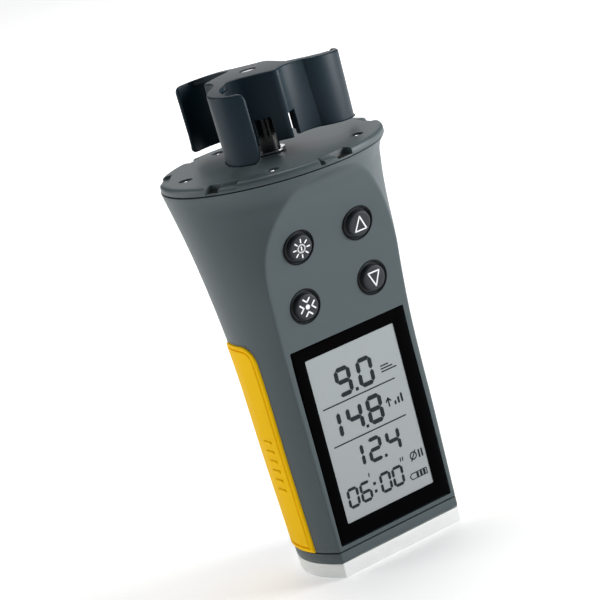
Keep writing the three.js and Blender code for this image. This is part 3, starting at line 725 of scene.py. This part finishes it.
def wall_rows(path, at):
    """Sections along the path, thin at the free tip, with the leg's window where the foot jumps up."""
    forward = np.gradient(path, axis=0)
    forward /= np.linalg.norm(forward, axis=1)[:, None]
    across = np.stack([forward[:, 1], -forward[:, 0]], -1)
    leg = in_range(path[:, 1], *LEG_WINDOW) & (path[:, 0] < CUP_ROOT + 2.6) & (at > 20)
    leg |= in_range(path[:, 0], *CORNER_SLIT) & (at > 30)
    half_wall, raised = CUP_WALL / 2, CUTOUT_TOP - CROWN
    rows = []
    for k in range(len(path)):
        end = min(at[k] + 0.02, half_wall)
        half = half_wall * math.sqrt(max(0.0, 1 - (1 - end / half_wall) ** 2))
        top = -nail(at[k], TIP_ROUND)
        bottom = -ROTOR_HEIGHT + nail(at[k], TIP_ROUND)
        hub_side = INNER_ROUND if at[k] > BACK_AT else TOP_ROUND
        cup_side = INNER_ROUND if in_range(at[k], *WEB_AT) else TOP_ROUND
        feet = [raised if leg[k] else bottom]
        if k + 1 < len(path) and leg[k] != leg[k + 1]:
            feet.append(bottom if leg[k] else raised)
        for foot in feet:
            section = wall_section(half, foot, top, hub_side, cup_side)
            spot = path[k] + section[:, :1] * across[k]
            rows.append(np.column_stack([spot, section[:, 1] + dome(spot[:, 0], spot[:, 1])]))
    first, last = rows[0].mean(0), rows[-1].mean(0)
    ends = [np.tile(point, (rows[0].shape[0], 1)) for point in (first, last)]
    return np.stack([ends[0], *rows, ends[1]])


wall = wall_rows(path, along_path)
print("wall grid:", wall.shape[:2])

# %% [markdown]
# A thin domed plate closes the hub, and a web closes the back of each scoop. Both are plates whose outline
# ends inside a wall; the web's free edge is a soft U, rounded like the rest of the moulding.

# %% The rotor's plates
def plate_grid(outline, centre, edge=0.35, hole=0.0):
    """A domed plate: rings of an outline, drawn towards a centre or a round hole, on top and then below."""
    centre = np.array(centre)
    reach = np.linalg.norm(outline - centre, axis=1)[:, None]
    start = hole / reach
    rings = [centre + (outline - centre) * (start + (1 - start) * share) for share in (0.0, 0.3, 0.6, 0.85)]
    depths = [0.0] * 4
    for inset, depth in ((edge, 0.0), (edge * 0.5, edge * 0.13), (edge * 0.13, edge * 0.5), (0, edge)):
        rings.append(centre + (outline - centre) * (1 - inset / reach))
        depths.append(depth)
    steps = list(zip(rings, depths))
    levels = [(ring, -depth) for ring, depth in steps]
    levels += [(ring, depth - PLATE) for ring, depth in steps[::-1]]
    return np.stack([np.column_stack([ring, dome(ring[:, 0], ring[:, 1]) + rise]) for ring, rise in levels])


def web_outline():
    """Segment of the scoop's half circle behind a chord, with a soft U along the chord."""
    radius = CUP_HALF - CUP_WALL * 0.75
    half = math.acos((WEB_DEPTH - CUP_STRAIGHT) / radius)
    turn = np.linspace(-np.pi / 2 + half, -np.pi / 2 - half, 48)
    arc = np.stack([CUP_MIDDLE + radius * np.cos(turn), -CUP_STRAIGHT + radius * np.sin(turn)], -1)
    across = np.linspace(-1, 1, 60)[1:-1]
    span = abs(arc[0, 0] - arc[-1, 0]) / 2
    dip = 1.7 * (1 - np.abs(across) ** 7)
    chord = np.stack([CUP_MIDDLE + across * span, -WEB_DEPTH - dip + 0.3], -1)
    return np.concatenate([arc, chord])


def hub_outline():
    """Three-lobed outline of the hub plate: the back of each scoop, its leg and the hollow curve."""
    inner = path[along_path >= BACK_AT]
    return np.concatenate([turned_plan(inner, 360 / ARM_COUNT * arm) for arm in range(ARM_COUNT)])


def turn_grid(grid, degrees):
    """A grid turned about the vertical axis."""
    return np.concatenate([turned_plan(grid[..., :2], degrees), grid[..., 2:]], -1)


web = plate_grid(web_outline(), (CUP_MIDDLE, -6.6))
hub = plate_grid(hub_outline(), (0.0, 0.0), hole=2.1)
boss = lathe([(1.3, 119.4), (2.8, 119.4), (3.0, 119.6), (3.0, CROWN - 0.8), (1.3, CROWN - 0.8)], 48)
turns = [ARM_ANGLE + 360 / ARM_COUNT * arm for arm in range(ARM_COUNT)]
rotor_grids = [(turn_grid(wall, turn), False, True) for turn in turns]
rotor_grids += [(turn_grid(web, turn), False, True) for turn in turns]
rotor_grids += [(turn_grid(hub, ARM_ANGLE), True, True), (boss, True, True)]
piece("three_cup_rotor", rotor_grids, "rotor", rotor_black, "rotor_black", "cup_rotor", sharp=50)

# %% [markdown]
# The window is a glossy black frame round the display. Its rows run from the back up the outer edge, over
# the face to the opening and down again, and join up. The display sits just behind, and its segments are
# thin bars of ink: seven to a digit, leaning a little, as on any such display. They are real thin plates and
# not a pattern in the finish, so they keep their edges in any view. Plain signs stand where words would be.

# %% Window and display
LCD = (-13.85, 13.1, 12.75, 55.75)  # left, right, low and high edge of what shows
LCD_DEPTH = 0.16


def window_frame():
    """Rows of the outer and the inner outline, with rounded edges, wrapped into a closed frame."""
    def outer(inset):
        return rectangle(-WINDOW_HALF + inset, WINDOW_HALF - inset, WINDOW_LOW + inset, WINDOW_HIGH - inset)

    def inner(grow):
        return rectangle(LCD[0] - grow, LCD[1] + grow, LCD[2] - grow, LCD[3] + grow, 0.3)

    steps = [(outer(0), 1.5), (outer(0), 0.25), (outer(0.07), 0.07), (outer(0.25), 0.0),
             (inner(0.08), 0.0), (inner(0.02), 0.02), (inner(0), 0.08), (inner(0), 1.5)]
    return on_panel(np.stack([np.column_stack([ring, np.full(len(ring), depth)]) for ring, depth in steps]))


piece("window_frame", [(window_frame(), True, True)], "body", window_black, "window_black", "display_window")
UNDERLAP = 0.3
face = rectangle(LCD[0] - UNDERLAP, LCD[1] + UNDERLAP, LCD[2] - UNDERLAP, LCD[3] + UNDERLAP)
piece("display_face", [slab(face, (LCD_DEPTH, 1.4))], "body", lcd_grey, "lcd_grey", "lcd_glass")

# %% Bars of ink and print
def bar(start, end, width, pointed=False):
    """Outline of a bar between two points, with pointed or round ends."""
    start, end = np.array(start, float), np.array(end, float)
    forward = (end - start) / np.linalg.norm(end - start)
    across = np.array([-forward[1], forward[0]])
    turn = np.radians([-90, 0, 90] if pointed else np.linspace(-90, 90, 9))
    reach = width / 2
    tip = reach * (np.cos(turn)[:, None] * forward + np.sin(turn)[:, None] * across)
    return np.concatenate([end + tip, start - tip])


def around(count):
    """Points evenly spaced on a circle of radius one."""
    turn = np.arange(count) * 2 * np.pi / count
    return np.stack([np.cos(turn), np.sin(turn)], -1)


def closed_line(points, width):
    """Bars from each point to the next, and from the last to the first."""
    return [bar(a, b, width) for a, b in zip(points, np.roll(points, -1, axis=0))]


def print_grid(outline, low, high):
    """A closed thin plate from a plan outline: centre, outline, outline, centre, as (x, y, height)."""
    centre = np.tile(outline.mean(0), (len(outline), 1))
    rows = [(centre, low), (outline, low), (outline, high), (centre, high)]
    return np.stack([np.column_stack([ring, np.full(len(ring), height)]) for ring, height in rows])


SEGMENTS = {"a": ((0, 2), (1, 2)), "b": ((1, 2), (1, 1)), "c": ((1, 1), (1, 0)), "d": ((0, 0), (1, 0)),
            "e": ((0, 1), (0, 0)), "f": ((0, 2), (0, 1)), "g": ((0, 1), (1, 1))}
DIGITS = {"0": "abcdef", "1": "bc", "2": "abged", "4": "fgbc", "6": "acdefg", "8": "abcdefg", "9": "abcdfg"}
SLANT = 0.03


def digit(symbol, left, low, width, height, stroke):
    """Bars of one digit: each segment is shortened a little so that its neighbours stay apart."""
    bars = []
    for name in DIGITS[symbol]:
        ends = np.array(SEGMENTS[name], float)
        inner = np.array([width - stroke, height - stroke])
        at = ends * (inner[0], inner[1] / 2) + (left + stroke / 2, low + stroke / 2)
        at[:, 0] += SLANT * (at[:, 1] - low)
        trim = (at[1] - at[0]) / np.linalg.norm(at[1] - at[0]) * (stroke * 0.5 + 0.05)
        bars.append(bar(at[0] + trim, at[1] - trim, stroke, True))
    return bars


def number(text, places, low, width, height, stroke):
    """Bars of a row of digits that stand at the given left edges."""
    return [each for symbol, left in zip(text, places)
            for each in digit(symbol, left, low, width, height, stroke)]


def dot(x, z, size=0.8):
    """A square full stop with soft corners."""
    return [rectangle(x - size / 2, x + size / 2, z - size / 2, z + size / 2, 0.1, 3)]


ink = number("90", (-7.15, -0.5), 43.4, 4.8, 7.5, 1.15) + dot(-1.45, 43.9, 0.9)
ink += number("148", (-13.1, -6.6, -0.5), 33.5, 4.8, 7.4, 1.15) + dot(-1.25, 33.9)
ink += number("124", (-8.6, -3.05, 2.6), 24.4, 4.3, 6.4, 1.0) + dot(1.75, 24.8)
ink += number("0600", (-12.2, -8.3, -2.1, 1.75), 15.8, 3.5, 5.3, 0.78) + dot(-3.6, 19.4) + dot(-3.7, 17.4)
for height, left, right in ((42.4, -12.3, 9.6), (32.35, -11.95, 10.1)):
    ink.append(bar((left, height), (right, height), 0.34))
# plain signs: level lines, an arrow with rising bars, and a crossed ring with two level bars
ink += [bar((6.6, 45.2 + 0.75 * k), (11.0 - 1.1 * k, 45.2 + 0.75 * k), 0.34) for k in range(3)]
ink.append(bar((6.3, 36.2), (6.3, 38.0), 0.4))
ink += [bar((x, 37.5), (6.3, 38.3), 0.4) for x in (5.6, 7.0)]
ink += [bar((8.2 + 1.05 * k, 36.2), (8.2 + 1.05 * k, 36.7 + 0.65 * k), 0.6) for k in range(3)]
ink += closed_line(0.95 * around(12) + (9.3, 21.6), 0.32) + [bar((8.5, 20.4), (10.1, 22.8), 0.32)]
ink += [bar((x, 20.7), (x, 22.4), 0.5) for x in (11.1, 12.0)]
ink += [bar((x, 21.7), (x + 0.1, 22.5), 0.3) for x in (-4.6, 5.3, 6.0)]
# the sign for the cells: a case with a pointed end and three filled parts
case = np.array([(7.4, 15.8), (12.1, 15.8), (12.1, 17.3), (7.4, 17.3), (6.9, 16.55)])
ink += closed_line(case, 0.26) + [bar((x, 16.2), (x, 16.9), 0.7) for x in (9.2, 10.3, 11.3)]


def ink_on_display(outline):
    """A thin plate of ink that starts just inside the display's face."""
    grid = print_grid(outline, LCD_DEPTH + 0.03, LCD_DEPTH - 0.03)
    return on_panel(grid), False, True


piece("display_segments", [ink_on_display(outline) for outline in ink], "body", lcd_ink, "black_plastic")

# %% [markdown]
# A key is a rubber button with a rounded face, standing in a collar that fills its hole, on a flange that
# keeps it in. It is turned about its own axis and set square to the panel, and a thin near-black ring on the
# body round its hole is painted shade for the recess round the key. The signs on the faces are printed: thin
# bars of white, which ride on the same body as their key.

# %% Keys
KEY_FACE = 1.12
KEY_PROFILE = [(0, -3.3), (4.5, -3.3), (4.6, -3.2), (4.6, -2.7), (4.5, -2.6), (3.86, -2.6), (3.86, -0.62),
               (3.78, -0.46), (3.6, -0.4), (3.28, -0.42), (3.25, -0.3), (3.25, 0.62), (3.17, 0.88),
               (3.0, 1.04), (2.7, KEY_FACE), (1.5, KEY_FACE), (0, KEY_FACE)]
# profile of the near-black ring round a key hole: painted shade for the recess round the key
SHADE_RING_PROFILE = [(4.06, -0.4), (4.42, -0.4), (4.42, 0.10), (4.34, 0.18), (4.14, 0.18), (4.06, 0.10)]


def ring_of(count, inner, outer, width):
    """Short bars that point outwards all round."""
    return [bar(inner * way, outer * way, width) for way in around(count)]


def chevron(way):
    """A small arrow head that points at the middle from one of four sides."""
    way = np.array(way, float)
    side = np.array([-way[1], way[0]])
    tip = way * 1.2
    return [bar(tip, way * 2.1 + side * 0.92, 0.4), bar(tip, way * 2.1 - side * 0.92, 0.4)]


triangle = np.array([(0, 2.0), (1.65, -1.6), (-1.65, -1.6)])
SIGNS = {
    "key_power": closed_line(around(20), 0.36) + [bar((0, -0.4), (0, 0.4), 0.36)]
    + ring_of(8, 1.6, 2.35, 0.36),
    "key_up": closed_line(triangle, 0.36),
    "key_hold": [each for way in ((1, 0), (0, 1), (-1, 0), (0, -1)) for each in chevron(way)]
    + [0.62 * around(20)],
    "key_down": closed_line(triangle * (1, -1), 0.36),
}
# each key: a near-black ring round its hole as painted shade for the recess, its button and its printed sign
for name, bars in SIGNS.items():
    piece(name + "_shade_ring", [(at_key(lathe(SHADE_RING_PROFILE, 72), name), True, True)], "body", seal_rubber,
          "seal_rubber")
    piece(name + "_button", [(at_key(lathe(KEY_PROFILE, 72), name), False, True)], name, key_black,
          "key_black", name)
    signs = [(at_key(print_grid(outline, KEY_FACE - 0.04, KEY_FACE + 0.03), name), False, True)
             for outline in bars]
    piece(name + "_sign", signs, name, printed_white, "key_black")

# %% [markdown]
# The grips are soft pads let into the housing's sides. Seen from the side a grip is a tall rectangle with
# two rounded top corners. Its surface is made of rings of that outline drawn in step by step, and each ring
# has its own height over the body: a rounded edge, a fine groove, then the flat of the pad.

# %% Grips
GRIP = (-5.2, 11.0, HOUSING_BOTTOM, 62.2)   # front, back, low and high edge
GRIP_CORNER, GRIP_HALF = 4.2, (GRIP[1] - GRIP[0]) / 2
# how far a ring is drawn in, and how proud of the body it stands
GRIP_STEPS = [(0.0, -0.3), (0.0, 0.15), (0.10, 0.36), (0.30, 0.47), (1.00, 0.50), (1.10, 0.30), (1.18, 0.02),
              (1.40, 0.02), (1.48, 0.30), (1.62, 0.46), (5.0, 0.50)]
RIBS = np.linspace(23.5, 36.5, 6)


def pad_ring(box, inset, corner, foot_corner, side=10, long=44):
    """A closed outline in side view, drawn in by an inset: large top corners, small lower ones."""
    front, back, low, high = box[0] + inset, box[1] - inset, box[2] + inset, box[3] - inset
    top, foot = max(corner - inset, 0.05), max(foot_corner - inset, 0.05)
    top, foot = min(top, (back - front) / 2), min(foot, (back - front) / 2)
    quarter = np.linspace(0, np.pi / 2, side)
    rise = np.linspace(low + foot, high - top, long)[1:-1]
    corners = [(back - foot, low + foot, foot, -np.pi / 2), (back - top, high - top, top, 0),
               (front + top, high - top, top, np.pi / 2), (front + foot, low + foot, foot, np.pi)]
    arcs = [np.stack([y + r * np.cos(quarter + turn), z + r * np.sin(quarter + turn)], -1)
            for y, z, r, turn in corners]
    up = np.stack([np.full(len(rise), back), rise], -1)
    down = np.stack([np.full(len(rise), front), rise[::-1]], -1)
    over = np.linspace(back - top, front + top, 14)[1:-1]
    below = np.linspace(front + foot, back - foot, 14)[1:-1]
    over, below = np.stack([over, 0 * over + high], -1), np.stack([below, 0 * below + low], -1)
    return np.concatenate([arcs[0], up, arcs[1], over, arcs[2], down, arcs[3], below])


def over_body(ring, side, proud):
    """Side-view points set on the round of the body, standing proud of it."""
    y, z = ring.T
    away = through(BACK_RADIUS, z) + proud
    return np.stack([side * np.sqrt(away ** 2 - (y - lean(z)) ** 2), y, z], -1)


def pad(box, side, steps, half, corner, foot_corner, under, long=44):
    """A closed pad: drawn-in rings over the top and the same rings, sunk, underneath."""
    over = steps + [(half - 0.002, steps[-1][1])]
    rings = [pad_ring(box, inset, corner, foot_corner, long=long) for inset, proud in over]
    rows = [over_body(ring, side, under) for ring in rings[::-1]]
    rows += [over_body(ring, side, proud) for ring, (inset, proud) in zip(rings, over)]
    return np.stack(rows), False, True


RIB_STEPS = [(0.0, 0.45), (0.05, 0.62), (0.18, 0.74), (0.35, 0.79)]
for word, side in (("left", -1), ("right", 1)):
    ribs = [pad((-1.6, 2.2, z - 0.5, z + 0.5), side, RIB_STEPS, 0.5, 0.5, 0.5, 0.3, 4) for z in RIBS]
    piece(f"grip_pad_{word}", [pad(GRIP, side, GRIP_STEPS, GRIP_HALF, GRIP_CORNER, 0.4, -0.9), *ribs],
          "body", grip_yellow, "grip_yellow", f"grip_{word}")

# %% [markdown]
# The floor is one large pale sheet. Lamps light only its middle, so it also glows a little, the more the
# farther from the meter, and stays pale to its edge. Four broad soft lamps stand round under a faint sky:
# one above, one ahead on the right for the panel, and two weak ones behind, low down, that skim the lid.

# %% Floor, sky and lamps
FLOOR_HALF, FLOOR_LEVEL = 6000.0, -0.05


def floor():
    """A square sheet just under the foot; its glow rises from 0.15 m to 1 m away from the middle."""
    x, y = np.meshgrid((-FLOOR_HALF, FLOOR_HALF), (-FLOOR_HALF, FLOOR_HALF))
    corners = np.stack([x, y, np.full_like(x, FLOOR_LEVEL)], -1)
    sheet = bpy.data.objects.new("floor", mesh_from("floor", [(corners, False, False)]))
    bpy.context.scene.collection.objects.link(sheet)
    finish = Finish("pale floor", Roughness=0.9, Specular_IOR_Level=0.0, Emission_Strength=0.78)
    pale = finish.mix(finish.noise(8), (0.90, 0.90, 0.90), (0.93, 0.93, 0.93))
    away = finish.node("ShaderNodeVectorMath", {"operation": "LENGTH"}, {0: finish.place}, output="Value")
    finish.feed("Base Color", pale)
    finish.feed("Emission Color", finish.mix(away.step(0.15, 1.0), (0.40, 0.40, 0.40), pale))
    sheet.data.materials.append(finish.material)


def lamp(name, turn, height, distance, size, power):
    """A square soft lamp aimed at the middle of the meter; turn is measured from the front, to the right."""
    t, aim = math.radians(turn), Vector((0, 0, 0.075))
    light = bpy.data.lights.new(name, "AREA")
    light.size, light.energy = size, power
    stand = bpy.data.objects.new(name, light)
    stand.location = (distance * math.sin(t), -distance * math.cos(t), height)
    stand.rotation_euler = (aim - stand.location).to_track_quat("-Z", "Y").to_euler()
    bpy.context.scene.collection.objects.link(stand)


floor()
sky = bpy.data.worlds.new("pale sky")
sky.use_nodes = True
sky.node_tree.nodes["Background"].inputs["Color"].default_value = (0.93, 0.96, 1.0, 1.0)
sky.node_tree.nodes["Background"].inputs["Strength"].default_value = 0.08
bpy.context.scene.world = sky
bpy.context.scene.view_settings.view_transform = "Standard"
LAMPS = {"lamp above": (150, 1.4, 0.35, 0.9, 11), "lamp right": (56, 0.35, 1.2, 0.7, 16),
         "lamp behind left": (-125, 0.4, 1.1, 0.6, 4), "lamp behind": (150, 0.42, 1.2, 0.7, 1.6)}
for name, numbers in LAMPS.items():
    lamp(name, *numbers)

# %% [markdown]
# The camera is long and far away, looks a little down on the meter from its left, and is rolled, so that
# the meter leans across the picture.

# %% Camera
AZIMUTH, ELEVATION, ROLL = -29.70, 13.95, -15.56
DISTANCE, LENS = 597.24, 144.74
AIM_ACROSS, AIM_HEIGHT = -2.66, 66.45


def camera():
    """Axes from the three angles: backwards, right and up, the last two rolled about the first."""
    turn, tilt, roll = (math.radians(angle) for angle in (AZIMUTH, ELEVATION, ROLL))
    back = Vector((math.sin(turn) * math.cos(tilt), -math.cos(turn) * math.cos(tilt), math.sin(tilt)))
    right = Vector((math.cos(turn), math.sin(turn), 0))
    up = back.cross(right)
    across = right * math.cos(roll) + up * math.sin(roll)
    upward = up * math.cos(roll) - right * math.sin(roll)
    aim = Vector((math.cos(turn) * AIM_ACROSS, math.sin(turn) * AIM_ACROSS, AIM_HEIGHT))
    eye = (aim + back * DISTANCE) * MM
    view = bpy.data.cameras.new("camera")
    view.lens, view.sensor_width = LENS, 36.0
    holder = bpy.data.objects.new("camera", view)
    axes = Matrix((across, upward, back)).transposed().to_4x4()
    holder.matrix_world = Matrix.Translation(eye) @ axes
    bpy.context.scene.collection.objects.link(holder)
    bpy.context.scene.camera = holder


camera()
print("camera stands", round(DISTANCE), "mm away")
